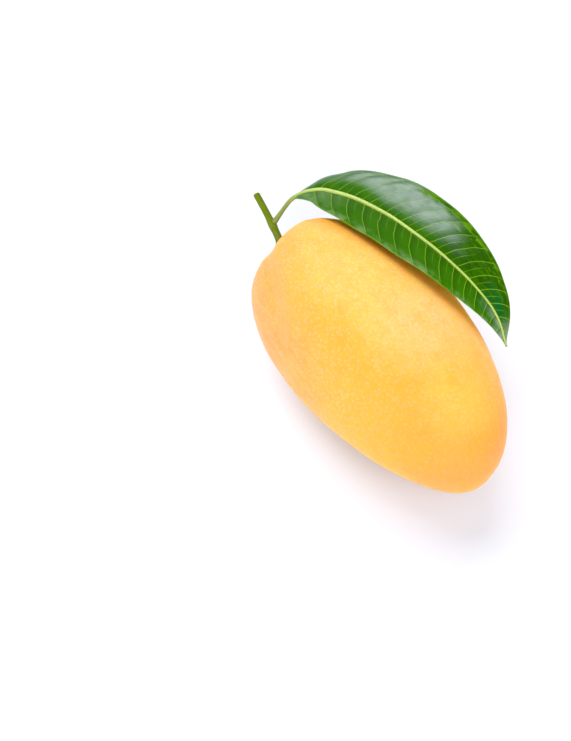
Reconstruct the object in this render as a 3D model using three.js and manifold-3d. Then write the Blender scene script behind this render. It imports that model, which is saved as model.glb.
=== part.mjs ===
// A ripe mango, picked with a short stalk and one leaf, lying on its broad side.
//
// Frame: millimetres, +Z up. The origin is the centre of the small flat spot that the fruit rests on.
// +X runs from the stem end to the beak, and +Y to the back of the fruit, the side that the leaf hangs over.

import * as THREE from 'three';
import { mergeVertices } from 'three/addons/utils/BufferGeometryUtils.js';
import Module from 'manifold-3d';

const { degToRad } = THREE.MathUtils;

// ---------- driving dimensions ----------

// The fruit, in its own axes: the long axis along X, the broad face along Y, the thickness along Z.
const FRUIT_LENGTH = 137.8;      // pole to pole, before the stem dimple
const FRUIT_WIDTH = 75.2;
const FRUIT_THICKNESS = 66;
const STEM_END_FULLNESS = 0.115; // the stem end is fuller than the middle by this share, the beak end slimmer
const BACK_BOW = 1.8;            // how far the middle bows towards the back
const SWAY = 4.5;                // the belly swells near the stem, and the beak swings to the back
const DIMPLE_DEPTH = 4.6;
const DIMPLE_RADIUS = 13;
const DIMPLE_Y = -10;

// How the fruit lies: the beak is a little lower than the stem end, and a sliver of the underside is flat.
const FRUIT_CENTRE = new THREE.Vector3(3, -1.8, 32.6);
const BEAK_DROOP = degToRad(2.5);

// The stalk, from inside the dimple to its cut end.
const STALK_LINE = [[-57, -7.6, 34.9], [-66, -5.4, 36.1], [-77, -3.5, 37.4], [-87.7, -2.1, 38.6]];
const STALK_FOOT_RADIUS = 1.9;
const STALK_RADIUS = 1.5;

// The leaf's petiole springs from the stalk and arches over into the midrib, which runs out to the tip.
const LEAF_LINE = [
  [-71.9, -4.2, 37.2], [-72.9, -0.6, 39], [-73.9, 3.3, 41.1], [-74.5, 7.6, 43.2], [-70.6, 15.9, 46.6],
  [-63.4, 21.2, 49.4], [-42.4, 29.7, 54.3], [-24.6, 34.4, 55.9], [-6.8, 38.5, 55.1], [11, 41.4, 52],
  [22.5, 41.7, 48.6], [33.4, 38.6, 44.1],
];
const BLADE_START = 0.1;         // share of the leaf line taken by the petiole
const PETIOLE_FOOT_RADIUS = 1.3;
const PETIOLE_RADIUS = 0.95;
const MIDRIB_TIP_RADIUS = 0.35;
const BLADE_HALF_WIDTH = 19.2;
const BLADE_THICKNESS = 0.6;
const BLADE_FOLD = degToRad(22); // how far each half rises from the midrib
const BLADE_ROLL = degToRad(9);  // the whole blade is turned up on the side of the fruit by this much
const BASE_TWIST = degToRad(40); // and by this much more where it leaves the petiole
const TIP_TWIST = degToRad(30);  // the tip turns back the other way
const BLADE_END_WIDTH = 0.4;     // least half-width, at the base and the tip

const TOUCHING_GAP = 0.3;        // left between pieces that grow out of each other

// ---------- materials ----------

const skin = new THREE.MeshStandardMaterial({ color: 0xfccb62, roughness: 0.42, metalness: 0 });
const stalkBark = new THREE.MeshStandardMaterial({ color: 0x94a34a, roughness: 0.6, metalness: 0 });
const leafGreen = new THREE.MeshStandardMaterial({ color: 0x3f8230, roughness: 0.35, metalness: 0 });

// ---------- solids ----------

const manifold = await Module();
manifold.setup();

function toSolid(geometry) {
  const bare = geometry.clone();
  bare.deleteAttribute('normal');
  bare.deleteAttribute('uv');
  const merged = mergeVertices(bare);
  return new manifold.Manifold(new manifold.Mesh({
    numProp: 3,
    vertProperties: new Float32Array(merged.attributes.position.array),
    triVerts: new Uint32Array(merged.index.array),
  }));
}

function toGeometry(solid) {
  const mesh = solid.getMesh();
  const geometry = new THREE.BufferGeometry();
  geometry.setAttribute('position', new THREE.BufferAttribute(mesh.vertProperties, 3));
  geometry.setIndex(new THREE.BufferAttribute(mesh.triVerts, 1));
  geometry.computeVertexNormals();
  return geometry;
}

// Moves every vertex of a geometry to where place(vertex) puts it.
function reshape(geometry, place) {
  const position = geometry.attributes.position;
  const vertex = new THREE.Vector3();
  for (let i = 0; i < position.count; i += 1) {
    vertex.fromBufferAttribute(position, i);
    place(vertex);
    position.setXYZ(i, vertex.x, vertex.y, vertex.z);
  }
  return geometry;
}

// ---------- stems that follow a line ----------

function curveThrough(points) {
  return new THREE.CatmullRomCurve3(points.map((p) => new THREE.Vector3(...p)), false, 'centripetal');
}

// A point of the curve at a share u of its length, with the direction to the side and upwards there.
function frameAt(curve, u) {
  const along = curve.getTangentAt(u);
  const aside = new THREE.Vector3().crossVectors(along, new THREE.Vector3(0, 0, 1)).normalize();
  const upward = new THREE.Vector3().crossVectors(aside, along);
  return { point: curve.getPointAt(u), aside, upward };
}

// A round rod along a curve, as thick at a share u of its length as radiusAt(u) says.
function stemAlong(curve, radiusAt, sides, steps) {
  return reshape(new THREE.CylinderGeometry(1, 1, 1, sides, steps), (v) => {
    const u = v.y + 0.5;
    const { point, aside, upward } = frameAt(curve, u);
    const radius = radiusAt(u);
    const across = v.x * radius;
    const above = v.z * radius;
    v.copy(point).addScaledVector(aside, across).addScaledVector(upward, above);
  });
}

// ---------- the fruit ----------

// A ball drawn out along X. Its cross-sections are ellipses, fuller towards the stem, whose centres follow the
// sway of the fruit. The stem end is pressed in where the stalk grows out.
function fruitBody(grow = 0) {
  const ball = new THREE.SphereGeometry(1, 60, 40).rotateZ(Math.PI / 2);
  const halfLength = FRUIT_LENGTH / 2 + grow;
  const halfWidth = FRUIT_WIDTH / 2 + grow;
  const halfThickness = FRUIT_THICKNESS / 2 + grow;
  return reshape(ball, (v) => {
    const towardsStem = -v.x;
    const girth = Math.hypot(v.y, v.z);
    const fullness = 1 + STEM_END_FULLNESS * towardsStem;
    v.x *= halfLength;
    v.y = halfWidth * fullness * v.y + girth * (BACK_BOW - SWAY * towardsStem);
    v.z *= halfThickness * fullness;
    if (towardsStem > 0) {
      const fromDimple = Math.hypot(v.y - DIMPLE_Y, v.z) / DIMPLE_RADIUS;
      v.x += DIMPLE_DEPTH * Math.exp(-(fromDimple ** 2));
    }
  }).rotateY(BEAK_DROOP).translate(FRUIT_CENTRE.x, FRUIT_CENTRE.y, FRUIT_CENTRE.z);
}

function fruitGeometry() {
  const restingPlane = new THREE.BoxGeometry(60, 60, 10).translate(0, 0, -5);
  return toGeometry(toSolid(fruitBody()).subtract(toSolid(restingPlane)));
}

// ---------- the stalk ----------

const stalkCurve = curveThrough(STALK_LINE);

function stalkBody(grow = 0) {
  const radiusAt = (u) => grow + THREE.MathUtils.lerp(STALK_FOOT_RADIUS, STALK_RADIUS, Math.min(u * 2, 1));
  return stemAlong(stalkCurve, radiusAt, 14, 8);
}

function stalkGeometry() {
  return toGeometry(toSolid(stalkBody()).subtract(toSolid(fruitBody(TOUCHING_GAP))));
}

// ---------- the leaf ----------

const leafCurve = curveThrough(LEAF_LINE);

// The petiole is a little swollen at its foot, and the midrib thins out towards the tip.
function midribRadius(u) {
  const swelling = (PETIOLE_FOOT_RADIUS - PETIOLE_RADIUS) * Math.max(1 - 2 * u / BLADE_START, 0);
  const alongBlade = Math.max(u - BLADE_START, 0) / (1 - BLADE_START);
  return swelling + THREE.MathUtils.lerp(PETIOLE_RADIUS, MIDRIB_TIP_RADIUS, alongBlade);
}

// Half the width of the blade at a share of the way from its base to its tip.
function bladeHalfWidth(share) {
  const oval = Math.sin(Math.PI * share ** 0.9) ** 0.77;
  const pointed = Math.sqrt(1 - share ** 10);
  return Math.max(BLADE_HALF_WIDTH * oval * pointed, BLADE_END_WIDTH);
}

// A thin strip bent along the midrib. Each half rises from the midrib, so that the blade is a shallow trough.
function bladeBody() {
  return reshape(new THREE.BoxGeometry(1, 2, 1, 44, 4, 1), (v) => {
    const share = v.x + 0.5;
    const { point, aside, upward } = frameAt(leafCurve, BLADE_START + (1 - BLADE_START) * share);
    const fold = BLADE_FOLD * Math.sqrt(Math.min(share / 0.7, 1));
    const roll = BLADE_ROLL + BASE_TWIST * Math.max(1 - share / 0.25, 0) ** 2 - TIP_TWIST * share ** 8;
    const side = Math.sign(v.y);
    const rise = fold - side * roll;
    const reach = Math.abs(v.y) * bladeHalfWidth(share);
    const across = -side * reach * Math.cos(rise);
    const above = reach * Math.sin(rise) + v.z * BLADE_THICKNESS;
    v.copy(point).addScaledVector(aside, across).addScaledVector(upward, above);
  });
}

function leafGeometry() {
  const midrib = toSolid(stemAlong(leafCurve, midribRadius, 8, 44));
  const stalkRoom = toSolid(stalkBody(TOUCHING_GAP));
  return toGeometry(toSolid(bladeBody()).add(midrib).subtract(stalkRoom));
}

// ---------- the scene ----------

function piece(name, geometry, material) {
  const mesh = new THREE.Mesh(geometry, material);
  mesh.name = name;
  return mesh;
}

const mango = new THREE.Group();
mango.name = 'mango';
mango.add(
  piece('mango_fruit', fruitGeometry(), skin),
  piece('fruit_stalk', stalkGeometry(), stalkBark),
  piece('leaf', leafGeometry(), leafGreen),
);

export default mango;
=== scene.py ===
# %% [markdown]
# # A ripe mango with its stalk and one leaf
# The real thing grew as three pieces: a smooth heavy fruit, the woody stalk that it hung from, and one leaf
# whose own stem springs from that stalk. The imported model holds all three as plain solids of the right
# size, in the right place. This lesson gives each of them a finer mesh of the same shape, and then its
# finish: the blush and the pale pores of the skin, the ridges of the stalk, and the veins and the wax of
# the leaf.

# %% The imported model
import math

import bmesh
import bpy
from mathutils import Matrix, Vector
from mathutils.bvhtree import BVHTree
from mathutils.kdtree import KDTree


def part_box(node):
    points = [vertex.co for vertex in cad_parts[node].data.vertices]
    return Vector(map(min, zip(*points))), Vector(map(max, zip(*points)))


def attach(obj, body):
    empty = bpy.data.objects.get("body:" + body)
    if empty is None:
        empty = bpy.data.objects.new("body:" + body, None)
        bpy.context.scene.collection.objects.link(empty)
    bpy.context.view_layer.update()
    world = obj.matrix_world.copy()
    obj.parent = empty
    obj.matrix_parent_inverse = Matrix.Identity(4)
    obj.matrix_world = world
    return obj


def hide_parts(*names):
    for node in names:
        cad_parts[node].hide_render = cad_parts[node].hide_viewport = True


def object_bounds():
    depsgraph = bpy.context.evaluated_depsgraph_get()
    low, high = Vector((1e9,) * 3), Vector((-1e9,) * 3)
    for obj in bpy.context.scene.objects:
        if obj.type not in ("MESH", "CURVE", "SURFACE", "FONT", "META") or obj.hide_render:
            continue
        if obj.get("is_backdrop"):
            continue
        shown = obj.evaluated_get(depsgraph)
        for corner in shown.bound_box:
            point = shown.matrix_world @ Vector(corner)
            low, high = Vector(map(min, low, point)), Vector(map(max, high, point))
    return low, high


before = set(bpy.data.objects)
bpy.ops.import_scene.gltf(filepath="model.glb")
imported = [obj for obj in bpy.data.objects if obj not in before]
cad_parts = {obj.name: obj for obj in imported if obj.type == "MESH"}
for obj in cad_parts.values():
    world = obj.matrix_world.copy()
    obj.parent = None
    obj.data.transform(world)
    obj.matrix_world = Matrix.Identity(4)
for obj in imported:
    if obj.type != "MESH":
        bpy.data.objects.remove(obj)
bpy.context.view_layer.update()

MM = 0.001
for name in sorted(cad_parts):
    low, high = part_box(name)
    print(name, "is", [round(side / MM, 1) for side in high - low], "mm")

# %% [markdown]
# ## The camera
# The fruit lies on its broad side, so a picture of its face is taken from well above. A long lens from most
# of a metre away keeps the shape true, where a short lens up close would swell the near end. The camera is
# turned a little to one side, which leaves empty floor around the fruit, instead of shifting the lens.

# %% Camera
VIEW_AZIMUTH = math.radians(55.7)
VIEW_ELEVATION = math.radians(60)
VIEW_DISTANCE = 830 * MM
LENS_LENGTH = 100
AIM_ASIDE = 37.84 * MM
AIM_BELOW = 5.82 * MM
FRUIT_MIDDLE = Vector((3.2, -1.75, 32.6)) * MM

backward = Vector((
    math.sin(VIEW_AZIMUTH) * math.cos(VIEW_ELEVATION),
    -math.cos(VIEW_AZIMUTH) * math.cos(VIEW_ELEVATION),
    math.sin(VIEW_ELEVATION),
))
to_right = Vector((math.cos(VIEW_AZIMUTH), math.sin(VIEW_AZIMUTH), 0))
to_top = backward.cross(to_right)

eye = FRUIT_MIDDLE + backward * VIEW_DISTANCE
aim = FRUIT_MIDDLE - to_right * AIM_ASIDE - to_top * AIM_BELOW
away = (eye - aim).normalized()
level = (to_right - away * to_right.dot(away)).normalized()
turned = Matrix((level, away.cross(level), away)).transposed()

bpy.ops.object.select_all(action="DESELECT")
bpy.ops.object.camera_add(location=eye, rotation=turned.to_euler())
camera = bpy.context.active_object
camera.data.lens = LENS_LENGTH
camera.data.clip_start = 10 * MM
bpy.context.scene.camera = camera
print("camera", round(VIEW_DISTANCE / MM), "mm from the middle of the fruit")

# %% [markdown]
# ## Working by hand, in code
# An operator acts on what is selected, as a tool in the window does. So each step here first selects one
# object, or a few points of its mesh, and then calls the tool. These helpers do the selecting.

# %% Helpers that select
def select_nothing():
    bpy.ops.object.select_all(action="DESELECT")


def only(piece):
    """Makes one object the selected and active one."""
    select_nothing()
    piece.select_set(True)
    bpy.context.view_layer.objects.active = piece


def open_mesh(piece):
    """Starts editing a mesh with nothing selected, and gives the mesh that the tools work on."""
    only(piece)
    bpy.ops.object.mode_set(mode="EDIT")
    bpy.ops.mesh.select_all(action="DESELECT")
    return bmesh.from_edit_mesh(piece.data)


def close_mesh():
    bpy.ops.object.mode_set(mode="OBJECT")


def pick(mesh, chosen):
    """Selects the chosen points of the open mesh, and nothing else."""
    bpy.ops.mesh.select_all(action="DESELECT")
    for point in chosen:
        point.select = True
    mesh.select_flush_mode()


def nearest(mesh, place):
    return min(mesh.verts, key=lambda point: (point.co - place).length_squared)


def sections(points):
    """Groups points by how far along X they lie, one group for each cross-section."""
    groups = {}
    for point in points:
        groups.setdefault(round(point.co.x, 6), []).append(point)
    return sorted(groups.items())


def apply_modifier(piece, kind, **settings):
    """Adds a modifier with its settings and applies it straight away."""
    only(piece)
    modifier = piece.modifiers.new(kind.lower(), kind)
    for setting, value in settings.items():
        setattr(modifier, setting, value)
    bpy.ops.object.modifier_apply(modifier=modifier.name)


def subdivide_smoothly(piece, levels):
    apply_modifier(piece, "SUBSURF", levels=levels, render_levels=levels, uv_smooth="NONE")


def report(piece):
    """Prints the size of a mesh and how many triangles it has."""
    piece.data.calc_loop_triangles()
    corners = [point.co for point in piece.data.vertices]
    size = [max(c[k] for c in corners) - min(c[k] for c in corners) for k in range(3)]
    triangles = len(piece.data.loop_triangles)
    print(piece.name, [round(side / MM, 1) for side in size], "mm,", triangles, "triangles")

# %% [markdown]
# ## The fruit
# The real fruit is one smooth body: a ball drawn out to nearly twice its width, fuller at the stem end,
# with a belly on one side and a beak that leans to the other. It could be sculpted, or lofted through drawn
# sections. Here it starts as a cube, cut fine and blown up to a ball, because such a ball has even faces
# all over. An ordinary ball has two poles where its faces run together, and they pucker when the mesh is
# made smooth.

# %% Fruit: a ball with even faces
FRUIT_LENGTH = 137.8 * MM
FRUIT_WIDTH = 75.2 * MM
FRUIT_THICKNESS = 66 * MM
BALL_CUTS = 23

select_nothing()
bpy.ops.mesh.primitive_cube_add(size=2)
fruit = bpy.context.active_object
fruit.name = "ripe_fruit"

open_mesh(fruit)
bpy.ops.mesh.select_all(action="SELECT")
bpy.ops.mesh.subdivide(number_cuts=BALL_CUTS)
bpy.ops.transform.tosphere(value=1)
ball = bmesh.from_edit_mesh(fruit.data)
ball_radius = max(point.co.length for point in ball.verts)
half_sides = (FRUIT_LENGTH / 2, FRUIT_WIDTH / 2, FRUIT_THICKNESS / 2)
bpy.ops.transform.resize(value=[half / ball_radius for half in half_sides], center_override=(0, 0, 0))
print("the ball has", len(ball.faces), "faces")

# %% [markdown]
# The tools now work on one cross-section at a time, from the beak to the stem. Each is scaled about the
# long axis, to fill out the stem end, and slid sideways, to give the fruit its belly and its leaning beak.

# %% Fruit: fuller at the stem, with a belly and a beak
STEM_END_FULLNESS = 0.115
BACK_BOW = 1.8 * MM
SWAY = 4.5 * MM

for along, ring in sections(ball.verts):
    towards_stem = -along / (FRUIT_LENGTH / 2)
    girth = math.sqrt(max(1 - towards_stem ** 2, 0))
    fullness = 1 + STEM_END_FULLNESS * towards_stem
    pick(ball, ring)
    bpy.ops.transform.resize(value=(1, fullness, fullness), center_override=(along, 0, 0))
    bpy.ops.transform.translate(value=(0, girth * (BACK_BOW - SWAY * towards_stem), 0))

# %% [markdown]
# Proportional editing moves a point and takes its neighbours along, less and less with distance. One such
# pull presses in the hollow that the stalk grows out of.

# %% Fruit: the hollow at the stem
HOLLOW_DEPTH = 4.6 * MM
HOLLOW_REACH = 24 * MM
HOLLOW_PLACE = Vector((-FRUIT_LENGTH / 2, -10 * MM, 0))


def press(mesh, place, move, reach):
    """Moves the point nearest to a place, and its neighbours with it as far as the reach."""
    pick(mesh, [nearest(mesh, place)])
    bpy.ops.transform.translate(
        value=move, use_proportional_edit=True, proportional_edit_falloff="SMOOTH", proportional_size=reach)


press(ball, HOLLOW_PLACE, (HOLLOW_DEPTH, 0, 0), HOLLOW_REACH)
close_mesh()
subdivide_smoothly(fruit, 2)
report(fruit)

# %% [markdown]
# The fruit lies with its beak a little lower than its stem end. It is turned by that much, and moved so
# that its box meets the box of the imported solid.

# %% Fruit: laid down in its place
BEAK_DROOP = math.radians(2.5)


def edges_of(points, side):
    reach = [point.co[side] for point in points]
    return min(reach), max(reach)


body = open_mesh(fruit)
bpy.ops.mesh.select_all(action="SELECT")
bpy.ops.transform.rotate(value=-BEAK_DROOP, orient_axis="Y", center_override=(0, 0, 0))
solid_low, solid_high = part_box("mango_fruit")
to_place = []
for side in range(2):
    low, high = edges_of(body.verts, side)
    to_place.append((solid_low[side] + solid_high[side] - low - high) / 2)
to_place.append(solid_high.z - edges_of(body.verts, 2)[1])
bpy.ops.transform.translate(value=to_place)
close_mesh()
print("moved by", [round(move / MM, 2) for move in to_place], "mm")

# %% Fruit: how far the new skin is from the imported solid
def gap_to_solid(piece, node):
    """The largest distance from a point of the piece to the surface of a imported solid."""
    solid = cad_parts[node]
    tree = BVHTree.FromPolygons(
        [point.co for point in solid.data.vertices], [face.vertices for face in solid.data.polygons])
    return max(tree.find_nearest(point.co)[3] for point in piece.data.vertices)


print("largest gap", round(gap_to_solid(fruit, "mango_fruit") / MM, 2), "mm")

# %% [markdown]
# A skin that is perfectly even looks like plastic. The real one swells and sinks by a fraction of a
# millimetre, has a faint crease down the belly from the stem, heaps up a little round the stalk, and keeps
# a small scar near the beak, where the flower's style dried off. The swells come from a soft noise, and the
# rest from the same pulls as the hollow. Last, the underside is pressed flat where the fruit rests.

# %% Fruit: swells and sinks
def roughen(piece, name, size, height):
    """Pushes the surface in and out by a soft noise, whose lumps are about the given size."""
    lumps = bpy.data.textures.new(name, "CLOUDS")
    lumps.noise_scale = size
    lumps.noise_depth = 1
    apply_modifier(piece, "DISPLACE", texture=lumps, texture_coords="LOCAL", strength=height, mid_level=0.5)


roughen(fruit, "swells", size=20 * MM, height=0.5 * MM)
roughen(fruit, "pits", size=2.8 * MM, height=0.12 * MM)

# %% Fruit: the crease, the collar and the scar
CREASE_LINE = [Vector(place) * MM for place in (
    (-59, -11, 41), (-56, -15, 47), (-52, -17.5, 51), (-47, -19.6, 53.4), (-39, -23, 55),
    (-32, -26, 55.4), (-26, -28.6, 54.5), (-16, -34, 48.8))]
CREASE_STEPS = 60
CREASE_PRESSED_TO = (60, 45, 34, 24)
CREASE_PRESS = 0.24 * MM
CREASE_REACH = 6 * MM
STALK_FOOT = Vector((-61.5, -6.6, 35.4)) * MM
COLLAR_RISE = Vector((-0.9, 0, 0)) * MM
COLLAR_REACH = 5 * MM
SCAR_PLACE = Vector((71, 8, 27)) * MM
SCAR_DENT = (-0.7 * MM, 0, 0)
SCAR_STUB = (0.5 * MM, 0, 0)


def places_between(line, count):
    """Places spread evenly over a line of straight pieces."""
    steps = [k * (len(line) - 1) / (count - 1) for k in range(count)]
    return [line[int(s)].lerp(line[min(int(s) + 1, len(line) - 1)], s % 1) for s in steps]


body = open_mesh(fruit)
crease = places_between(CREASE_LINE, CREASE_STEPS)
for end in CREASE_PRESSED_TO:
    pick(body, [nearest(body, place) for place in crease[:end]])
    bpy.ops.transform.shrink_fatten(
        value=-CREASE_PRESS, use_proportional_edit=True,
        proportional_edit_falloff="SMOOTH", proportional_size=CREASE_REACH)

press(body, STALK_FOOT, COLLAR_RISE, COLLAR_REACH)
press(body, SCAR_PLACE, SCAR_DENT, reach=3.5 * MM)
press(body, SCAR_PLACE, SCAR_STUB, reach=1.4 * MM)
scar = nearest(body, SCAR_PLACE).co.copy()
print("the scar is at", [round(side / MM, 1) for side in scar])

# %% Fruit: every point notes how far from the crease it is
def note(piece, name, value_of):
    """Writes three numbers on every point, which it keeps however the piece is bent."""
    kept = piece.data.attributes.new(name, "FLOAT_VECTOR", "POINT")
    for point, cell in zip(piece.data.vertices, kept.data):
        cell.vector = value_of(point)


close_mesh()
on_crease = KDTree(len(crease))
for index, place in enumerate(crease):
    on_crease.insert(place, index)
on_crease.balance()
note(fruit, "from_crease", lambda point: (on_crease.find(point.co)[2], 0, 0))

# %% Fruit: the flat spot it rests on
body = open_mesh(fruit)
below = [point for point in body.verts if point.co.z < 0]
pick(body, below)
bpy.ops.transform.resize(value=(1, 1, 0), center_override=(0, 0, 0))
spot = [edges_of(below, side) for side in range(2)]
close_mesh()
only(fruit)
bpy.ops.object.shade_smooth()
print("the flat spot is", [round((high - low) / MM, 1) for low, high in spot], "mm")
report(fruit)

# %% [markdown]
# ## Building a finish
# A finish is a material: a surface shader, and a few nodes that tell it how colour, gloss and relief change
# from place to place. The first helper adds nodes, for the finishes here and for the studio's walls later.
# The second makes a material of them. Every finish starts from a place in the piece's own space, in metres,
# so that a pore of the skin keeps its real size and stays where it is.

# %% Helper that adds nodes
class Nodes:
    """Shader nodes, which are added one at a time."""

    def __init__(self, tree):
        self.tree = tree

    def add(self, kind, inputs, output=0, **settings):
        """Adds a node, sets it, feeds its sockets, and gives one of its outputs."""
        node = self.tree.nodes.new("ShaderNode" + kind)
        for setting, value in settings.items():
            setattr(node, setting, value)
        for socket, value in inputs.items():
            self.feed(node.inputs[socket], value)
        return node.outputs[output]

    def feed(self, socket, value):
        if isinstance(value, bpy.types.NodeSocket):
            self.tree.links.new(value, socket)
        elif socket.type == "RGBA":
            socket.default_value = (*value, 1)
        else:
            socket.default_value = value

    def parts(self, vector):
        """The three numbers that a place or a note is made of."""
        node = self.tree.nodes.new("ShaderNodeSeparateXYZ")
        self.feed(node.inputs[0], vector)
        return node.outputs

    def math(self, operation, first, second=0.0):
        return self.add("Math", {0: first, 1: second}, operation=operation)

    def times(self, first, second):
        return self.math("MULTIPLY", first, second)

    def plus(self, first, second):
        return self.math("ADD", first, second)

    def step(self, value, start, end):
        """0 before the start and 1 past the end, with a soft rise between. The start may be the higher."""
        return self.add("MapRange", {"Value": value, "From Min": start, "From Max": end},
                        interpolation_type="SMOOTHSTEP")

    def between(self, value, low, high):
        """Turns a share from 0 to 1 into a value from low to high."""
        return self.add("MapRange", {"Value": value, "To Min": low, "To Max": high})

    def mix(self, share, one, other, how="MIX"):
        """Mixes two colours: all of the one at a share of 0, and all of the other at 1."""
        return self.add("Mix", {0: share, 6: one, 7: other}, output=2, data_type="RGBA", blend_type=how)

    def lay(self, colour, *layers):
        """Lays paints over a colour. Each layer is a mask, its strength and the paint."""
        for mask, strength, paint in layers:
            colour = self.mix(self.times(mask, strength), colour, paint)
        return colour

    def noise(self, place, size, detail=2, roughness=0.5):
        """A soft noise from 0 to 1, whose patches are about the given size."""
        return self.add("TexNoise", {
            "Vector": place, "Scale": 1 / size, "Detail": detail, "Roughness": roughness})

    def stretch(self, place, scale):
        return self.add("Mapping", {"Vector": place, "Scale": scale})

    def distance(self, place, centre):
        return self.add("VectorMath", {0: place, 1: centre}, output="Value", operation="DISTANCE")

    def towards(self, place, direction):
        """How far a place lies in a direction."""
        return self.add("VectorMath", {0: place, 1: direction}, output="Value", operation="DOT_PRODUCT")

    def from_origin(self, place, scale):
        """How far a place is from the origin, after its three sides are scaled."""
        scaled = self.add("VectorMath", {0: place, 1: scale}, operation="MULTIPLY")
        return self.add("VectorMath", {0: scaled}, output="Value", operation="LENGTH")

    def cells(self, place, spacing, feature="F1"):
        """The distance to the nearest of many scattered dots, or to the edge of the cell round it."""
        return self.add("TexVoronoi", {"Vector": place, "Scale": 1 / spacing}, feature=feature)

# %% Helper that builds a finish
class Finish(Nodes):
    """A material, whose surface shader the nodes feed."""

    def __init__(self, name, constants):
        self.material = bpy.data.materials.new(name)
        self.material.use_nodes = True
        super().__init__(self.material.node_tree)
        self.surface = self.tree.nodes["Principled BSDF"]
        for socket, value in constants.items():
            self.surface.inputs[socket].default_value = value

    def drive(self, socket, value):
        """Feeds a socket of the surface shader."""
        self.feed(self.surface.inputs[socket], value)

    def place(self):
        return self.add("TexCoord", {}, output="Object")

    def noted(self, name):
        """What note() wrote on the points."""
        return self.add("Attribute", {}, output="Vector", attribute_name=name)

    def relief(self, height, depth, strength=1.0):
        """Shades the surface as if it rose and sank, by a height from 0 to 1 times the depth."""
        bump = self.add("Bump", {"Height": height, "Distance": depth, "Strength": strength})
        self.drive("Normal", bump)


def coat_with(piece, *finishes):
    piece.data.materials.clear()
    for finish in finishes:
        piece.data.materials.append(finish.material)

# %% [markdown]
# ## The skin
# The skin of this ripe fruit is golden on its face and paler on its top, partly its own paler skin and
# partly a painted highlight. The cream patch on its crown and the paler gold on the crown of the beak are
# painted highlights along the ridge. It turns peach where the belly curves away, and orange towards the
# tip of the beak. Over the back, most of all close under the leaf, it is painted a deeper orange, which
# is painted shade, with fewer pale pores and less shine there. The beak's lower edge is painted a darker,
# duller peach with an uneven border, which is painted shade towards the floor. Patches a few millimetres
# wide are a little redder, and a paler seam runs along the crease. It could be painted by hand on the
# unwrapped mesh. Here each zone is a distance or a direction with a soft edge instead, so it has no seam
# of its own, and moving it means changing one number. Pale pores lie all over, a little more than a
# millimetre apart, and they lighten whatever colour is below them. The wax is thin, so the skin shines
# softly, and the flesh under it lets some light in, which warms the shade.

# %% Skin: colours
GOLDEN = (0.90, 0.440, 0.058)
PALE_GOLD = (0.91, 0.560, 0.125)
CREAM_HIGHLIGHT = (0.92, 0.560, 0.200)
DEEP_GOLD = (0.90, 0.370, 0.030)
PEACH = (0.90, 0.340, 0.088)
PALE_PEACH = (0.91, 0.405, 0.140)
BEAK_ORANGE = (0.90, 0.310, 0.018)
BEAK_GOLD_HIGHLIGHT = (0.91, 0.540, 0.100)
SHADE_ORANGE = (0.90, 0.330, 0.035)
SHADE_PEACH = (0.76, 0.285, 0.085)
PORE_TINT = (0.020, 0.055, 0.130)
FRECKLE_BROWN = (0.45, 0.20, 0.06)
FOOT_GREEN = (0.55, 0.50, 0.10)
HIGHLIGHT_PLACE = Vector((16, 10, 63)) * MM
BEAK_HIGHLIGHT_PLACE = Vector((45, 8, 54)) * MM
SHOULDER = Vector((-27, -17, 61)) * MM

skin = Finish("mango_skin_golden", {
    "IOR": 1.42,
    "Specular IOR Level": 0.3,
    "Subsurface Weight": 1.0,
    "Subsurface Radius": (1.0, 0.35, 0.10),
    "Subsurface Scale": 5 * MM,
})
place = skin.place()
along, _, height = skin.parts(place)

wander = skin.noise(place, 26 * MM)
towards_top = skin.towards(place, (-0.08, 0.50, 0.86))
# Paler on top: partly the skin's own paler colour, partly a painted highlight.
paler_top_and_highlight = skin.step(skin.plus(towards_top, skin.between(wander, -5 * MM, 5 * MM)), 42 * MM, 61 * MM)
colour = skin.mix(paler_top_and_highlight, GOLDEN, PALE_GOLD)
# A painted highlight: cream on the crown, where the ridge shines.
to_highlight = skin.distance(place, HIGHLIGHT_PLACE)
colour = skin.mix(skin.step(to_highlight, 27 * MM, 5 * MM), colour, CREAM_HIGHLIGHT)

beak_side = skin.step(along, 12 * MM, 76 * MM)
colour = skin.lay(colour, (beak_side, skin.between(wander, 0.5, 0.95), BEAK_ORANGE))
# A painted highlight: paler gold on the crown of the beak.
to_beak_highlight = skin.distance(place, BEAK_HIGHLIGHT_PLACE)
colour = skin.lay(colour, (skin.step(to_beak_highlight, 23 * MM, 6 * MM), 0.75, BEAK_GOLD_HIGHLIGHT))

patches = skin.noise(place, 6 * MM, detail=3, roughness=0.6)
colour = skin.lay(colour, (skin.step(patches, 0.35, 0.75), 0.4, DEEP_GOLD))

towards_belly = skin.towards(place, (-0.35, -0.93, 0.0))
wavy_belly = skin.plus(towards_belly, skin.between(wander, -8 * MM, 8 * MM))
belly_side = skin.step(wavy_belly, 18 * MM, 47 * MM)
streaks = skin.noise(skin.stretch(place, (0.25, 1.0, 1.0)), 3 * MM, detail=3, roughness=0.6)
colour = skin.mix(belly_side, colour, skin.mix(skin.step(streaks, 0.42, 0.68), PEACH, PALE_PEACH))
to_shoulder = skin.distance(place, SHOULDER)
colour = skin.lay(colour, (skin.step(to_shoulder, 22 * MM, 4 * MM), 0.2, PALE_GOLD))

# %% Skin: painted shade on the back, under the leaf and on the beak's lower edge
# Painted shade: the back is painted a deeper orange, most of all close under the leaf, where its shadow
# falls.
towards_leaf = skin.towards(place, (-0.30, 0.95, 0.0))
on_back = skin.times(skin.step(towards_leaf, 17 * MM, 25 * MM), skin.step(along, 44 * MM, 20 * MM))
leaf_close = skin.step(height, 30 * MM, 46 * MM)
under_leaf = skin.times(on_back, leaf_close)
shade_share = skin.times(on_back, skin.between(leaf_close, 0.6, 1.0))
colour = skin.mix(shade_share, colour, SHADE_ORANGE)
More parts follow.
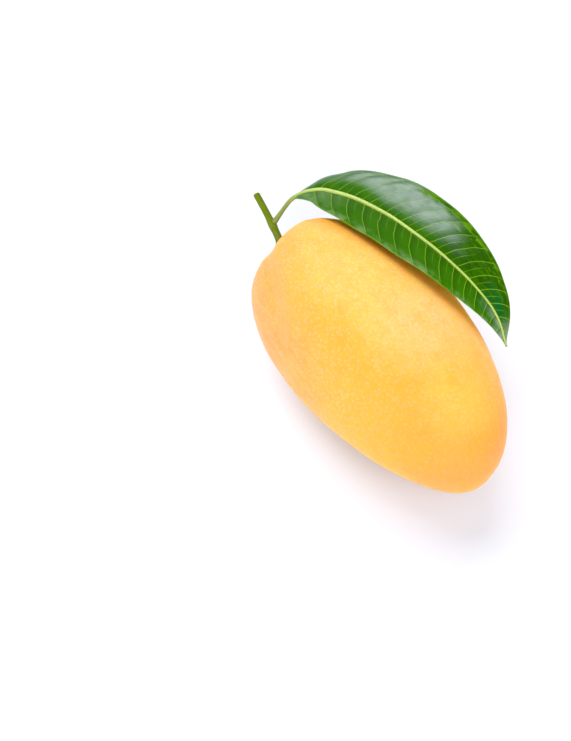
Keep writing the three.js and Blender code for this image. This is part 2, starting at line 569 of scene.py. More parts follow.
# Painted shade: the beak's lower edge is painted a darker, duller peach towards the floor.
wavy_height = skin.plus(height, skin.between(wander, -5 * MM, 5 * MM))
wavy_height = skin.plus(wavy_height, skin.between(patches, -5 * MM, 5 * MM))
beak_rim_shade = skin.times(skin.step(wavy_height, 47 * MM, 33 * MM), skin.step(along, 42 * MM, 66 * MM))
colour = skin.lay(colour, (beak_rim_shade, 0.6, SHADE_PEACH))

# %% Skin: pores, grain and freckles
PORE_SPACING = 1.3 * MM
PORE_STRAY_SIZE = 1.5 * MM
PORE_STRAY = (0.8 * MM, 0.8 * MM, 0.8 * MM)
FRECKLE_SPACING = 11 * MM

astray = skin.add("TexNoise", {"Vector": place, "Scale": 1 / PORE_STRAY_SIZE, "Detail": 2.0}, output="Color")
strayed = skin.add("VectorMath", {0: astray, 1: PORE_STRAY, 2: place}, operation="MULTIPLY_ADD")
grown = skin.stretch(strayed, (0.8, 1.0, 1.0))
pores = skin.step(skin.cells(grown, PORE_SPACING), 0.58, 0.12)
pore_patches = skin.step(skin.noise(place, 5 * MM, detail=3), 0.25, 0.75)
pore_strength = skin.times(skin.between(pore_patches, 0.5, 1.1), skin.between(beak_side, 1.0, 0.45))
# Fewer pale pores in the painted shade close under the leaf.
pore_strength = skin.times(pore_strength, skin.between(under_leaf, 1.0, 0.25))
colour = skin.mix(skin.times(pores, pore_strength), colour, PORE_TINT, "ADD")

grain = skin.noise(place, 0.5 * MM, detail=3, roughness=0.7)
colour = skin.mix(skin.between(grain, 0.0, 0.15), colour, DEEP_GOLD)
mottle = skin.noise(place, 0.8 * MM, detail=3, roughness=0.7)
colour = skin.lay(colour, (skin.step(mottle, 0.38, 0.66), 0.24, DEEP_GOLD))

freckles = skin.step(skin.cells(place, FRECKLE_SPACING), 0.045, 0.015)
colour = skin.lay(colour, (freckles, 0.15, FRECKLE_BROWN))

# %% Skin: the ring at the stalk and the dry scar
to_foot = skin.distance(place, STALK_FOOT)
wavy_foot = skin.plus(to_foot, skin.between(grain, -1 * MM, 1 * MM))
colour = skin.lay(colour, (skin.step(wavy_foot, 11 * MM, 2 * MM), 0.6, FOOT_GREEN))
colour = skin.mix(skin.step(wavy_foot, 3.0 * MM, 2.2 * MM), colour, FRECKLE_BROWN)
to_scar = skin.distance(place, scar)
colour = skin.lay(colour, (skin.step(to_scar, 1.4 * MM, 0.5 * MM), 0.7, FRECKLE_BROWN))

# %% Skin: the pale seam along the crease
to_crease, _, _ = skin.parts(skin.noted("from_crease"))
wavy_crease = skin.plus(to_crease, skin.between(streaks, -2 * MM, 2 * MM))
colour = skin.lay(
    colour,
    (skin.step(wavy_crease, 4 * MM, 1 * MM), 0.55, PALE_PEACH),
    (skin.step(to_crease, 0.9 * MM, 0.2 * MM), 0.3, PEACH),
)

# %% Skin: shine and relief
skin.drive("Base Color", colour)
skin.drive("Roughness", skin.between(grain, 0.36, 0.52))
skin.drive("Specular IOR Level", skin.between(under_leaf, 0.3, 0.0))
dimpled = skin.plus(skin.times(pores, 0.5), skin.times(grain, 0.5))
skin.relief(dimpled, 0.12 * MM, 0.5)
coat_with(fruit, skin)
print("the skin has", len(skin.tree.nodes), "nodes")

# %% [markdown]
# ## Stems that follow a line
# The stalk, and the leaf's own stem with its midrib, are long, thin and bent. They are hard to shape once
# they are bent, so each is drawn out straight along X first, ring by ring: extrude, then scale. A Curve
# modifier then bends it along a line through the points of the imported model. Before that, every point notes
# where it was on the straight piece, so that bark, veins and fibres can be painted along it later.

# %% Helpers for stems
LINE_SMOOTHNESS = 32
STEM_POINTS = {
    "stalk": [(-57, -7.6, 34.9), (-66, -5.4, 36.1), (-77, -3.5, 37.4), (-87.7, -2.1, 38.6)],
    "leaf": [
        (-71.9, -4.2, 37.2), (-72.9, -0.6, 39), (-73.9, 3.3, 41.1), (-74.5, 7.6, 43.2), (-70.6, 15.9, 46.6),
        (-63.4, 21.2, 49.4), (-42.4, 29.7, 54.3), (-24.6, 34.4, 55.9), (-6.8, 38.5, 55.1), (11, 41.4, 52),
        (22.5, 41.7, 48.6), (33.4, 38.6, 44.1)],
}


def line_through(points):
    """A smooth curve through the points, and its length."""
    select_nothing()
    bpy.ops.curve.primitive_bezier_curve_add()
    line = bpy.context.active_object
    line.data.dimensions = "3D"
    line.data.twist_mode = "Z_UP"
    line.data.resolution_u = LINE_SMOOTHNESS
    knots = line.data.splines[0].bezier_points
    knots.add(len(points) - len(knots))
    for knot, point in zip(knots, points):
        knot.co = Vector(point) * MM
        knot.handle_left_type = "AUTO"
        knot.handle_right_type = "AUTO"
    bpy.context.view_layer.update()
    return line, line.data.splines[0].calc_length()


def drawn_rod(name, sides, stations, radius_at):
    """A closed round rod along X, drawn out of a disc through the stations."""
    start = stations[0]
    select_nothing()
    bpy.ops.mesh.primitive_circle_add(
        vertices=sides, radius=radius_at(start), fill_type="NGON",
        location=(start, 0, 0), rotation=(0, math.pi / 2, 0))
    rod = bpy.context.active_object
    rod.name = name
    bpy.ops.object.transform_apply(location=True, rotation=True, scale=False)
    open_mesh(rod)
    bpy.ops.mesh.select_all(action="SELECT")
    for here, there in zip(stations, stations[1:]):
        growth = radius_at(there) / radius_at(here)
        bpy.ops.mesh.extrude_region_move(TRANSFORM_OT_translate={"value": (there - here, 0, 0)})
        bpy.ops.transform.resize(value=(1, growth, growth), center_override=(there, 0, 0))
    bpy.ops.mesh.select_all(action="SELECT")
    bpy.ops.mesh.normals_make_consistent(inside=False)
    close_mesh()
    return rod


def bend_along(piece, line):
    """Notes every point's place on the straight piece, then bends it."""
    note(piece, "straight_place", lambda point: point.co)
    apply_modifier(piece, "CURVE", object=line, deform_axis="POS_X")
    only(piece)
    bpy.ops.object.shade_smooth()

# %% [markdown]
# ## The stalk
# A stub of the stalk that the fruit hung from was picked with it: three millimetres thick, ribbed
# lengthwise, with a flared foot in the hollow, a swollen knot where the leaf's stem springs, and a flat cut
# end, in which a pale ring of wood shows round the pith.

# %% Stalk: drawn out straight
STALK_FOOT_RADIUS = 1.9 * MM
STALK_RADIUS = 1.5 * MM
STALK_FLARE = 1.0 * MM
FLARE_REACH = 1.2 * MM
KNOT_SWELLING = 0.4 * MM
KNOT_REACH = 2.4 * MM
STALK_SIDES = 18
STALK_STEPS = 32
CUT_EDGE = 0.2 * MM

stalk_line, stalk_length = line_through(STEM_POINTS["stalk"])
stalk_start = Vector(STEM_POINTS["stalk"][0]) * MM
flare_place = (STALK_FOOT - stalk_start).length + COLLAR_RISE.length
knot_place = (Vector(STEM_POINTS["leaf"][0]) * MM - stalk_start).length


def swelling(along, place, height, reach):
    return height * math.exp(-((along - place) / reach) ** 2)


def stalk_radius(along):
    """Thick at the foot, with a flare at the skin and a swelling at the knot."""
    taper = STALK_FOOT_RADIUS + (STALK_RADIUS - STALK_FOOT_RADIUS) * min(2 * along / stalk_length, 1)
    flare = swelling(along, flare_place, STALK_FLARE, FLARE_REACH)
    knot = swelling(along, knot_place, KNOT_SWELLING, KNOT_REACH)
    return taper + flare + knot


stations = [stalk_length * k / STALK_STEPS for k in range(STALK_STEPS + 1)]
stations.insert(-1, stalk_length - CUT_EDGE)
stalk = drawn_rod("cut_stalk", STALK_SIDES, stations, stalk_radius)
print("the stalk is", round(stalk_length / MM, 1), "mm long, its knot at", round(knot_place / MM, 1), "mm")

# %% Stalk: ribs, and the rings of the cut end
RIB_SHARE = 0.91
BARK_THICKNESS = 0.35 * MM
WOOD_THICKNESS = 0.5 * MM
BARK_LIP = 0.08 * MM
WOOD_SINK = 0.12 * MM
PITH_SINK = 0.1 * MM

rod = open_mesh(stalk)
rib_angle = 2 * math.pi / STALK_SIDES
for station, ring in sections(rod.verts):
    furrows = [point for point in ring if round(math.atan2(point.co.z, point.co.y) / rib_angle) % 2]
    pick(rod, furrows)
    bpy.ops.transform.resize(value=(1, RIB_SHARE, RIB_SHARE), center_override=(station, 0, 0))

bpy.ops.mesh.select_all(action="DESELECT")
for face in rod.faces:
    face.select = face.calc_center_median().x > stalk_length - CUT_EDGE / 2
bpy.ops.mesh.inset(thickness=CUT_EDGE, depth=0)
bpy.ops.mesh.inset(thickness=BARK_THICKNESS - CUT_EDGE, depth=BARK_LIP)
bpy.ops.mesh.inset(thickness=WOOD_THICKNESS, depth=-WOOD_SINK)
bpy.ops.mesh.inset(thickness=CUT_EDGE, depth=-PITH_SINK)
close_mesh()
subdivide_smoothly(stalk, 2)
bend_along(stalk, stalk_line)
report(stalk)

# %% [markdown]
# The bark is green where it is young and fresh, with greyer patches of cork and fine lengthwise fibres. A
# noise that is stretched along the straight stalk draws the fibres. Past the cut, rings round the middle
# give the bark its thickness, then pale wood, then brown pith. Every ring is a distance from the straight
# stalk's middle.

# %% Stalk finish
BARK_GREEN = (0.110, 0.170, 0.003)
BARK_OLIVE = (0.150, 0.190, 0.006)
BARK_GREY = (0.17, 0.21, 0.030)
WOOD_PALE = (0.60, 0.58, 0.28)
PITH_BROWN = (0.30, 0.22, 0.09)

bark = Finish("stalk_bark_green", {"Specular IOR Level": 0.05})
straight = bark.noted("straight_place")
fibres = bark.noise(bark.stretch(straight, (0.06, 1, 1)), 0.25 * MM, detail=4, roughness=0.65)
cork = bark.step(bark.noise(bark.stretch(straight, (0.5, 1, 1)), 2.2 * MM, detail=4), 0.50, 0.66)
colour = bark.mix(bark.step(fibres, 0.35, 0.65), BARK_GREEN, BARK_OLIVE)
colour = bark.lay(colour, (cork, 0.7, BARK_GREY))

along, _, _ = bark.parts(straight)
from_middle = bark.from_origin(straight, (0, 1, 1))
past_cut = bark.step(along, stalk_length - 0.16 * MM, stalk_length - 0.04 * MM)
wood = bark.mix(bark.step(from_middle, 0.62 * MM, 0.45 * MM), WOOD_PALE, PITH_BROWN)
wood = bark.mix(bark.step(from_middle, 1.15 * MM, 1.25 * MM), wood, BARK_OLIVE)
colour = bark.mix(past_cut, colour, wood)
corky_foot = bark.step(along, flare_place + 1.6 * MM, flare_place)
colour = bark.lay(colour, (corky_foot, 0.7, FRECKLE_BROWN))

bark.drive("Base Color", colour)
bark.drive("Roughness", bark.between(fibres, 0.45, 0.75))
bark.relief(bark.plus(fibres, cork), 0.15 * MM, 0.6)
coat_with(stalk, bark)

# %% [markdown]
# ## The leaf
# A mango leaf is a long blade, folded up a little along its midrib, arched between midrib and margin, and
# quilted: it swells between the side veins, which hold it down. It could be one sheet with a picture of a
# leaf on it, but then it would look flat in every other light. So the blade starts as a fine flat grid,
# whose columns are arched and whose rows are scaled to the leaf's outline and folded, while it is still
# straight.

# %% Leaf: a flat grid, whose points note their place
BLADE_START = 0.1
BLADE_HALF_WIDTH = 19.2 * MM
BLADE_ROWS = 72
BLADE_COLUMNS = 20

leaf_line, leaf_length = line_through(STEM_POINTS["leaf"])
blade_base = BLADE_START * leaf_length
blade_length = leaf_length - blade_base

select_nothing()
bpy.ops.mesh.primitive_grid_add(
    x_subdivisions=BLADE_ROWS, y_subdivisions=BLADE_COLUMNS, size=1,
    location=(blade_base + blade_length / 2, 0, 0))
blade = bpy.context.active_object
blade.name = "leaf_blade"
bpy.ops.transform.resize(value=(blade_length, 2 * BLADE_HALF_WIDTH, 1))
bpy.ops.object.transform_apply(location=True, rotation=False, scale=True)


def share_and_across(point):
    """How far from base to tip, from 0 to 1, and from midrib to margin, from -1 to 1."""
    return (point.co.x - blade_base) / blade_length, point.co.y / BLADE_HALF_WIDTH, 0


note(blade, "blade_place", share_and_across)
print("the leaf is", round(leaf_length / MM, 1), "mm long, and its blade", round(blade_length / MM, 1), "mm")

# %% Leaf: arched columns
ARCH_HEIGHT = {1: 0.055, -1: 0.085}
ARCH_LEAN = 0.85
MARGIN_ROLL = 0.03

flat = open_mesh(blade)
columns = {}
for point in flat.verts:
    columns.setdefault(round(point.co.y, 6), []).append(point)
for aside, column in columns.items():
    across = min(abs(aside) / BLADE_HALF_WIDTH, 1)
    height = ARCH_HEIGHT[1 if aside > 0 else -1]
    arch = height * math.sin(math.pi * across ** ARCH_LEAN) + MARGIN_ROLL * (across ** 3 - across ** 9)
    pick(flat, column)
    bpy.ops.transform.translate(value=(0, 0, arch * BLADE_HALF_WIDTH))

# %% [markdown]
# Each row is scaled about the midrib to the width that the outline has there. Then each half of the row is
# turned about the midrib. The leaf is folded less near its base, and it rolls over from base to tip, as a
# hanging leaf does. A small wave in the turning ripples the margins.

# %% Leaf: the outline and the fold
BLADE_END_WIDTH = 0.4 * MM
BLADE_FOLD = math.radians(22)
BLADE_ROLL = math.radians(9)
BASE_TWIST = {1: math.radians(60), -1: math.radians(24)}
TIP_TWIST = math.radians(30)
RIPPLE = math.radians(0.6)
RIPPLES = 5.3


def blade_half_width(share):
    oval = math.sin(math.pi * share ** 0.9) ** 0.77
    pointed = math.sqrt(1 - share ** 10)
    return max(BLADE_HALF_WIDTH * oval * pointed, BLADE_END_WIDTH)


def blade_rise(share, side):
    """How far a half of the blade is turned up. Side 1 is the outer half, and -1 the half by the fruit."""
    fold = BLADE_FOLD * math.sqrt(min(share / 0.7, 1))
    roll = BLADE_ROLL + BASE_TWIST[side] * max(1 - share / 0.25, 0) ** 3 - TIP_TWIST * share ** 8
    ripple = RIPPLE * math.sin(2 * math.pi * RIPPLES * share + side)
    return fold - side * roll + ripple


for station, row in sections(flat.verts):
    share = min(max((station - blade_base) / blade_length, 0), 1)
    narrower = blade_half_width(share) / BLADE_HALF_WIDTH
    pick(flat, row)
    bpy.ops.transform.resize(value=(1, narrower, narrower), center_override=(station, 0, 0))
    for side in (1, -1):
        pick(flat, [point for point in row if point.co.y * side > BLADE_END_WIDTH / BLADE_COLUMNS])
        bpy.ops.transform.rotate(
            value=-side * blade_rise(share, side), orient_axis="X", center_override=(station, 0, 0))
close_mesh()
subdivide_smoothly(blade, 2)
report(blade)

# %% [markdown]
# ## The side veins
# Side veins leave the midrib by turns, left and right, about eight millimetres apart, and closer near the
# tip. Each runs out at a slant and curls forward near the margin. The count of veins from the base grows
# smoothly along the leaf, and along a vein it stays a whole number. So one formula serves both for the
# relief and for the colour.

# %% Leaf: the count of side veins at every point
VEIN_SPACING = 8.2 * MM
TIP_CROWDING = 1.8
CROWDING_POWER = 5
VEIN_SLANT = {1: 0.56, -1: 0.46}
VEIN_EASE = {1: 1.0, -1: 0.45}
VEIN_CURL = {1: 0.32, -1: 0.48}
FIRST_VEIN = {1: 0.60, -1: 0.95}


def vein_count(share, across):
    """How many side veins lie between the base and this point, and how far apart the veins are here."""
    half_width = blade_half_width(share)
    side = 1 if across > 0 else -1
    edge = abs(across)
    behind = VEIN_SLANT[side] * edge ** VEIN_EASE[side] + VEIN_CURL[side] * edge ** 3
    root = share * blade_length - behind * half_width
    crowding = TIP_CROWDING * (max(root, 0) / blade_length) ** CROWDING_POWER
    per_metre = 1 / VEIN_SPACING + CROWDING_POWER * crowding / max(root, MM)
    slope = VEIN_SLANT[side] * VEIN_EASE[side] * max(edge, 0.1) ** (VEIN_EASE[side] - 1)
    slope += 3 * VEIN_CURL[side] * edge ** 2
    return FIRST_VEIN[side] + root / VEIN_SPACING + crowding, 1 / (per_metre * math.hypot(1, slope))


def noted_on(piece, name):
    """Everything that note() wrote, as a list."""
    return [cell.vector.copy() for cell in piece.data.attributes[name].data]


places = noted_on(blade, "blade_place")


def vein_map(point):
    """The count of veins, how far apart they are, and how far across: 1 outside, -1 by the fruit."""
    share, across, _ = places[point.index]
    share = min(max(share, 0), 1)
    return (*vein_count(share, across), across)


note(blade, "vein_map", vein_map)
veins = noted_on(blade, "vein_map")
print("side veins on a half of the leaf:", round(max(count for count, _, _ in veins)))

# %% Leaf: quilting between the veins
QUILT_HEIGHT = 0.45 * MM
VEIN_HEIGHT = 0.35
VEIN_HALF_WIDTH = 0.35 * MM


def quilt_weight(count, spacing, across):
    """1 between two veins, 0 on a vein, and less and less towards midrib and margin."""
    from_vein = 0.5 - abs(count % 1 - 0.5)
    swell = math.sin(math.pi * from_vein) ** 0.8
    edge = min(abs(across), 1)
    envelope = (0.4 + 0.6 * edge) * min(edge / 0.2, 1) * min((1 - edge) / 0.2, 1)
    ridge = math.exp(-(from_vein * spacing / VEIN_HALF_WIDTH) ** 2)
    return envelope * (swell + VEIN_HEIGHT * ridge * (1 - edge)) / (1 + VEIN_HEIGHT)


quilt = blade.vertex_groups.new(name="quilt")
for index, vein in enumerate(veins):
    quilt.add([index], quilt_weight(*vein), "REPLACE")
apply_modifier(blade, "DISPLACE", vertex_group="quilt", strength=QUILT_HEIGHT, mid_level=0)

# %% Leaf: thickness, and the bend
LEAF_THICKNESS = 0.35 * MM

apply_modifier(
    blade, "SOLIDIFY", thickness=LEAF_THICKNESS, offset=-1, use_even_offset=True, use_rim=True,
    material_offset=1, material_offset_rim=2)
bend_along(blade, leaf_line)
report(blade)

# %% [markdown]
# The leaf's stem, and the midrib that it runs on into, are one tapering rod. It is round and swollen at its
# foot in the knot, and raised a little where it lies in the fold of the blade.

# %% Leaf: the stem and the midrib
STEM_FOOT_RADIUS = 1.35 * MM
STEM_RADIUS = 0.95 * MM
MIDRIB_TIP_RADIUS = 0.35 * MM
MIDRIB_SIDES = 12
MIDRIB_STEPS = 64
MIDRIB_RADIUS = 1.25 * MM
MIDRIB_RISE = 0.45


def midrib_radius(along):
    share = along / leaf_length
    foot = (STEM_FOOT_RADIUS - STEM_RADIUS) * max(1 - 2 * share / BLADE_START, 0)
    on_blade = max(share - BLADE_START, 0) / (1 - BLADE_START)
    widened = (MIDRIB_RADIUS - STEM_RADIUS) * min(on_blade / 0.25, 1)
    thinned = on_blade ** 1.3
    return foot + (STEM_RADIUS + widened) * (1 - thinned) + MIDRIB_TIP_RADIUS * thinned


stations = [leaf_length * k / MIDRIB_STEPS for k in range(MIDRIB_STEPS + 1)]
midrib = drawn_rod("leaf_midrib", MIDRIB_SIDES, stations, midrib_radius)
rod = open_mesh(midrib)
for station, ring in sections(rod.verts):
    on_blade = min(max(station - blade_base, 0) / (10 * MM), 1)
    pick(rod, ring)
    bpy.ops.transform.translate(value=(0, 0, MIDRIB_RISE * on_blade * midrib_radius(station)))
close_mesh()
subdivide_smoothly(midrib, 1)
bend_along(midrib, leaf_line)
report(midrib)

select_nothing()
for line in (stalk_line, leaf_line):
    line.select_set(True)
bpy.ops.object.delete()

# %% [markdown]
# ## The leaf's finish
# The upper face is deep green. The half by the fruit is painted a fresher green, as painted light that
# comes through it, and painted shade darkens one side of each of its veins. Over the far part of the
# outer half and along the outer margin, dark cells are painted shade, with yellow-green cells among them.
# Near the tip some cells are blue-green, the tip itself is dull and grey, and grey streaks beside the
# midrib there are a painted sheen. On the half by the fruit, pale grey patches at the base and along the
# margin are partly dust and partly a painted sheen. A hard wax mirrors the softbox on the outer half, and
# it is worn off at the margin and towards the tip. So one mask, a product of a few soft steps, says how
# strongly each place mirrors. Pale side veins cross the blade, with a weaker vein between each two near
# the midrib, and a fine net and faint rungs between them. Near the margin the veins join in a row of loops,
# and a pale line runs along the margin, partly its own colour and partly painted light. All these lines
# are drawn from the noted count, so they lie on the relief.

# %% Leaf: colours
LEAF_DEEP = (0.022, 0.110, 0.000)
LEAF_FRESH = (0.034, 0.140, 0.000)
LEAF_LIT_THROUGH = (0.036, 0.160, 0.001)
LEAF_YELLOW_GREEN = (0.075, 0.205, 0.000)
LEAF_SHADED = (0.014, 0.068, 0.000)
LEAF_BLUE = (0.000, 0.100, 0.016)
LEAF_DUST_AND_SHEEN = (0.160, 0.260, 0.110)
LEAF_TIP_GREY_AND_SHEEN = (0.230, 0.310, 0.200)
VEIN_PALE = (0.19, 0.36, 0.012)
NET_PALE = (0.070, 0.200, 0.003)

upper = Finish("leaf_upper_wax", {
    "IOR": 1.62,
    "Specular IOR Level": 0.3,
    "Specular Tint": (0.82, 0.80, 1.0, 1),
})
straight = upper.noted("straight_place")
share, _, _ = upper.parts(upper.noted("blade_place"))
vein_place = upper.noted("vein_map")
count, spacing, across = upper.parts(vein_place)
edge = upper.math("ABSOLUTE", across)
inner_half = upper.step(across, 0.02, -0.02)

patches = upper.noise(straight, 9 * MM, detail=4, roughness=0.6)
blotches = upper.noise(straight, 4.5 * MM, detail=3, roughness=0.6)
colour = upper.mix(upper.step(patches, 0.35, 0.65), LEAF_DEEP, LEAF_FRESH)
# Painted light: the half by the fruit is painted brighter, as if lit through from below.
colour = upper.lay(colour, (inner_half, 0.5, LEAF_LIT_THROUGH))

cells = upper.noise(upper.stretch(vein_place, (1.0, 0, 6)), 1, detail=3, roughness=0.6)
# Painted shade: dark cells over the far outer half and along the outer margin, with yellow-green cells among
# them.
shaded_outer = upper.times(upper.step(across, 0.05, 0.25), upper.step(share, 0.52, 0.66))
colour = upper.lay(colour, (shaded_outer, upper.step(cells, 0.30, 0.60), LEAF_SHADED))
wavy_margin = upper.plus(across, upper.between(blotches, -0.15, 0.15))
worn_margin = upper.times(upper.step(wavy_margin, 0.76, 0.92), upper.step(share, 0.36, 0.45))
far_margin = upper.times(upper.step(across, 0.50, 0.70), upper.step(share, 0.50, 0.62))
near_margin = upper.math("MAXIMUM", worn_margin, far_margin)
colour = upper.lay(
    colour,
    (near_margin, upper.step(cells, 0.48, 0.42), LEAF_SHADED),
    (near_margin, upper.step(cells, 0.52, 0.62), LEAF_YELLOW_GREEN),
)

blue_zone = upper.times(upper.step(share, 0.77, 0.86), upper.step(edge, 0.80, 0.45))
colour = upper.lay(colour, (blue_zone, upper.step(cells, 0.40, 0.52), LEAF_BLUE))
# Partly dust, partly a painted sheen: pale grey patches at the base and along the inner margin.
base_dust_and_sheen = upper.times(upper.step(share, 0.30, 0.02), upper.step(blotches, 0.20, 0.55))
margin_dust_and_sheen = upper.times(upper.step(across, -0.78, -0.98), upper.step(patches, 0.45, 0.60))
dust_and_sheen = upper.times(upper.math("MAXIMUM", base_dust_and_sheen, margin_dust_and_sheen), inner_half)
colour = upper.lay(colour, (dust_and_sheen, 0.8, LEAF_DUST_AND_SHEEN))

streaks = upper.noise(upper.stretch(straight, (0.12, 1.0, 1.0)), 0.8 * MM, detail=3, roughness=0.6)
# Near the tip: the tip itself is grey, and grey streaks beside the midrib are a painted sheen.
at_tip = upper.step(share, 0.90, 0.97)
beside_rib = upper.times(upper.step(share, 0.80, 0.92), upper.step(across, -0.75, -0.15))
beside_rib = upper.times(beside_rib, inner_half)
sheen_streaks = upper.times(beside_rib, upper.step(streaks, 0.1, 0.6))
grey_tip_and_sheen = upper.math("MAXIMUM", upper.times(at_tip, 0.8), sheen_streaks)
colour = upper.mix(grey_tip_and_sheen, colour, LEAF_TIP_GREY_AND_SHEEN)

# %% Leaf: helpers that draw veins
NET_SPACING = 1.25 * MM


def line_near(finish, distance, width):
    """1 on a line and 0 away from it, with a soft edge. The width may be a value that changes."""
    over = finish.math("DIVIDE", distance, width)
    return finish.step(over, 1.3, 0.5)


def from_veins(finish, count, spacing, start):
    """The distance to the nearest vein, for veins that start at a share of the spacing."""
    turn = finish.math("FRACT", finish.plus(count, start))
    off = finish.math("ABSOLUTE", finish.math("SUBTRACT", turn, 0.5))
    return finish.times(finish.math("SUBTRACT", 0.5, off), spacing)


def net_lines(finish, straight, width):
    """The fine net between the veins: 1 on its lines, with the width as a share of a cell."""
    return finish.step(finish.cells(straight, NET_SPACING, "DISTANCE_TO_EDGE"), width, 0.02)


# %% Leaf: side veins, loops and net
LOOP_HALF_WIDTH = 17 * MM

wobble = upper.between(upper.noise(straight, 6 * MM), -0.08, 0.08)
count = upper.plus(count, wobble)

vein_width = upper.between(edge, 0.23 * MM, 0.13 * MM)
main_veins = line_near(upper, from_veins(upper, count, spacing, 0.0), vein_width)
main_veins = upper.times(main_veins, upper.step(edge, 1.0, 0.85))
half_veins = line_near(upper, from_veins(upper, count, spacing, 0.5), 0.14 * MM)
half_veins = upper.times(half_veins, upper.step(edge, 0.70, 0.35))

loop_wave = upper.math("COSINE", upper.times(count, 2 * math.pi))
loop_place = upper.between(loop_wave, 0.875, 0.91)
to_loop = upper.math("ABSOLUTE", upper.math("SUBTRACT", edge, loop_place))
to_loop = upper.times(to_loop, LOOP_HALF_WIDTH)
loops = upper.times(line_near(upper, to_loop, 0.16 * MM), upper.between(inner_half, 1, 0.3))

net = net_lines(upper, straight, 0.12)
colour = upper.lay(colour, (net, 0.15, NET_PALE))
turn = upper.math("FRACT", count)
# Painted shade on one side of each vein of the half by the fruit.
vein_shade = upper.times(upper.step(turn, 0.55, 0.0), inner_half)
colour = upper.lay(colour, (vein_shade, 0.5, LEAF_SHADED))
rungs = upper.noise(upper.stretch(vein_place, (0.9, 0, 20)), 1, detail=2, roughness=0.6)
colour = upper.lay(
    colour,
    (upper.step(rungs, 0.52, 0.70), 0.35, LEAF_SHADED),
    (half_veins, 0.45, VEIN_PALE),
    (loops, 0.35, VEIN_PALE),
    (main_veins, upper.between(inner_half, 0.65, 0.85), VEIN_PALE),
    # A pale line along the margin: partly its own colour, partly painted light over its shade.
    (upper.step(edge, 0.955, 0.985), 0.5, VEIN_PALE),
)

# %% Leaf: wax and relief
dull_patches = upper.between(patches, 0.28, 0.40)
upper.drive("Base Color", colour)
upper.drive("Roughness", upper.plus(dull_patches, upper.times(at_tip, 0.25)))
wavy_share = upper.plus(share, upper.between(patches, -0.08, 0.08))
wavy_share = upper.plus(wavy_share, upper.times(edge, 0.12))
further_out = upper.between(upper.step(share, 0.38, 0.20), 0, 0.26)
from_rib = upper.math("SUBTRACT", across, further_out)
waxy = upper.times(upper.step(from_rib, 0.08, 0.50), upper.step(wavy_share, 0.76, 0.62))
waxy = upper.times(waxy, upper.between(worn_margin, 1, 0))
thin_wax = upper.times(upper.between(blotches, 0.35, 1.35), upper.between(rungs, 1.15, 0.65))
thin_wax = upper.times(thin_wax, upper.between(upper.step(share, 0.05, 0.25), 0.7, 1.1))
upper.drive("Specular IOR Level", upper.between(upper.times(waxy, thin_wax), 0.02, 0.95))
raised = upper.plus(upper.times(main_veins, 0.9), upper.times(half_veins, 0.4))
uneven = upper.plus(upper.times(rungs, 0.8), upper.times(net, 0.15))
upper.relief(upper.math("SUBTRACT", raised, uneven), 0.12 * MM, 0.7)

# %% Leaf: underside, rim and midrib
LEAF_BELOW = (0.15, 0.28, 0.055)
VEIN_BELOW = (0.36, 0.46, 0.14)
RIM_PALE_AND_LIT = (0.50, 0.70, 0.18)
MIDRIB_PALE = (0.50, 0.64, 0.130)
STEM_GREEN = (0.20, 0.27, 0.035)

under = Finish("leaf_underside_pale", {"IOR": 1.45, "Specular IOR Level": 0.3})
straight = under.noted("straight_place")
count, spacing, _ = under.parts(under.noted("vein_map"))
ridges = line_near(under, from_veins(under, count, spacing, 0.0), 0.4 * MM)
net = net_lines(under, straight, 0.14)
colour = under.mix(under.times(net, 0.4), LEAF_BELOW, VEIN_BELOW)
colour = under.mix(ridges, colour, VEIN_BELOW)
under.drive("Base Color", colour)
under.drive("Roughness", under.between(net, 0.62, 0.5))
under.relief(under.plus(ridges, under.times(net, 0.4)), 0.2 * MM, 0.7)

# The rim is pale, and painted lighter still: painted light on its shaded edge.
rim = Finish("leaf_rim_pale_and_lit", {"Roughness": 0.45})
rim_patches = rim.noise(rim.noted("straight_place"), 2 * MM, detail=3)
rim.drive("Base Color", rim.mix(rim_patches, LEAF_FRESH, RIM_PALE_AND_LIT))
coat_with(blade, upper, under, rim)

stem = Finish("midrib_pale_green", {"Specular IOR Level": 0.6})
straight = stem.noted("straight_place")
along, _, _ = stem.parts(straight)
fibres = stem.noise(stem.stretch(straight, (0.08, 1, 1)), 0.2 * MM, detail=3)
on_blade = stem.step(along, blade_base - 6 * MM, blade_base + 12 * MM)
colour = stem.mix(on_blade, STEM_GREEN, MIDRIB_PALE)
colour = stem.mix(stem.between(fibres, 0.0, 0.35), colour, STEM_GREEN)
stem.drive("Base Color", colour)
stem.drive("Roughness", stem.between(fibres, 0.28, 0.4))
stem.relief(fibres, 0.08 * MM, 0.4)
coat_with(midrib, stem)

# %% [markdown]
# ## The studio
# The floor is a plain pale sheet, far larger than the fruit, that glows faintly as a light table does. That
# keeps it white and its shadows weak. Round the spot where the fruit lies the glow fades out, which paints
# a soft shadow under it. One broad softbox stands high above the stem end, where the leaf mirrors it, and a
# weaker one fills in from the beak. A lamp of the sun kind with a wide angle acts as a softbox that is far
# off: it lights the whole floor evenly, with soft shadows. The walls are pale on the viewer's side and the
# ceiling is dark, so that the gloss keeps its shape. A white backdrop is all that the camera itself sees
# of them.

# %% Floor
FLOOR_SIDE = 8
FLOOR_GAP = 0.05 * MM
FOOTPRINT_LENGTH = 66 * MM
FOOTPRINT_WIDTH = 36 * MM
GLOW = 0.34

select_nothing()
bpy.ops.mesh.primitive_plane_add(size=FLOOR_SIDE, location=(0, 0, -FLOOR_GAP))
floor = bpy.context.active_object
floor.name = "floor"
bpy.ops.object.transform_apply(location=True, rotation=False, scale=False)
table = Finish("white_light_table", {
    "Base Color": (0.53, 0.56, 0.63, 1),
    "Roughness": 0.7,
    "Specular IOR Level": 0.1,
    "Emission Color": (0.98, 0.97, 1, 1),
})
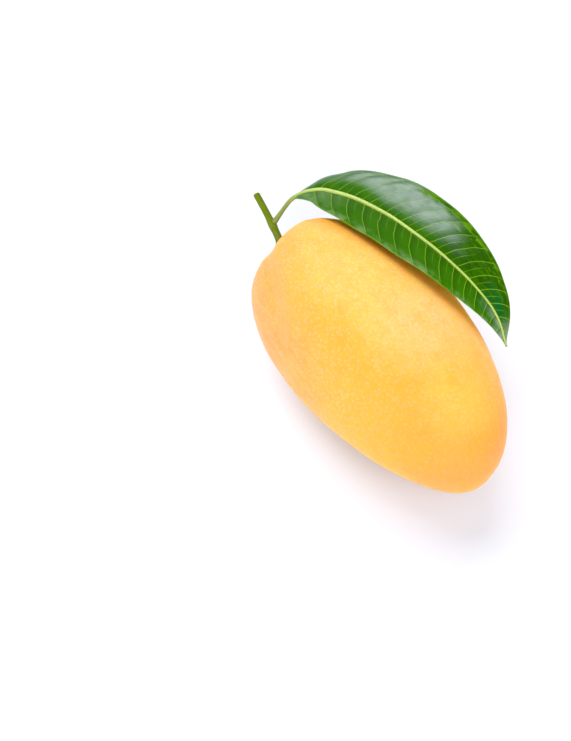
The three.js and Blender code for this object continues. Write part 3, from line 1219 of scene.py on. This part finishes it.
# The glow fades out round the fruit's footprint, which paints a shadow on the floor.
from_foot = table.from_origin(table.place(), (1 / FOOTPRINT_LENGTH, 1 / FOOTPRINT_WIDTH, 0))
table.drive("Emission Strength", table.times(table.step(from_foot, 0.4, 1.15), GLOW))
coat_with(floor, table)
floor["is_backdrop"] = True

# %% Lamp and walls
SOFTBOX_DIRECTION = Vector((-0.60, 0.13, 0.79))
SOFTBOX_SPREAD = math.radians(54)
SOFTBOX_POWER = 2.9
FILL_DIRECTION = Vector((0.66, -0.22, 0.72))
FILL_SPREAD = math.radians(45)
FILL_POWER = 1.5
TOWARDS_VIEWER = (0.80, -0.60, 0)
WALL_LIT = (2.2, 2.2, 2.25)
WALL_DARK = (0.48, 0.47, 0.49)
CEILING_DARK = (0.03, 0.03, 0.03)
WHITE = (1, 1, 1)


def add_lamp(direction, spread, power):
    """A lamp far off in a direction, as wide as the spread."""
    bpy.ops.object.light_add(type="SUN", rotation=direction.to_track_quat("Z", "Y").to_euler())
    lamp = bpy.context.active_object
    lamp.data.energy = power
    lamp.data.angle = spread


add_lamp(SOFTBOX_DIRECTION, SOFTBOX_SPREAD, SOFTBOX_POWER)
add_lamp(FILL_DIRECTION, FILL_SPREAD, FILL_POWER)

room = bpy.data.worlds.new("studio_room")
bpy.context.scene.world = room
room.use_nodes = True
walls = Nodes(room.node_tree)
direction = walls.add("TexCoord", {}, output="Generated")
_, _, upward = walls.parts(direction)
to_viewer = walls.towards(direction, TOWARDS_VIEWER)
tone = walls.mix(walls.step(to_viewer, -0.30, 0.35), WALL_DARK, WALL_LIT)
tone = walls.mix(walls.step(upward, 0.75, 0.35), CEILING_DARK, tone)

lit = room.node_tree.nodes["Background"]
walls.feed(lit.inputs["Color"], tone)
white = walls.add("Background", {"Color": WHITE})
seen = walls.add("LightPath", {}, output="Is Camera Ray")
either = walls.add("MixShader", {0: seen, 1: lit.outputs[0], 2: white})
walls.feed(room.node_tree.nodes["World Output"].inputs["Surface"], either)
bpy.context.scene.view_settings.view_transform = "Standard"

# %% [markdown]
# ## The pieces on their body
# Each row of the table holds a mesh, the plain solid that it follows, and the name that the record gives
# its finish. Each mesh rides on the imported body, and the solid is hidden. The box of the whole model is
# then measured.

# %% Ride and replace
STAND_INS = (
    (fruit, "mango_fruit", "mango_skin"),
    (stalk, "fruit_stalk", "stalk_bark"),
    (blade, "leaf", "leaf_green"),
    (midrib, "leaf", "leaf_green"),
)
for piece, node, slot in STAND_INS:
    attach(piece, "root")
    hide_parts(node)

# %% The box of the whole model
low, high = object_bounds()
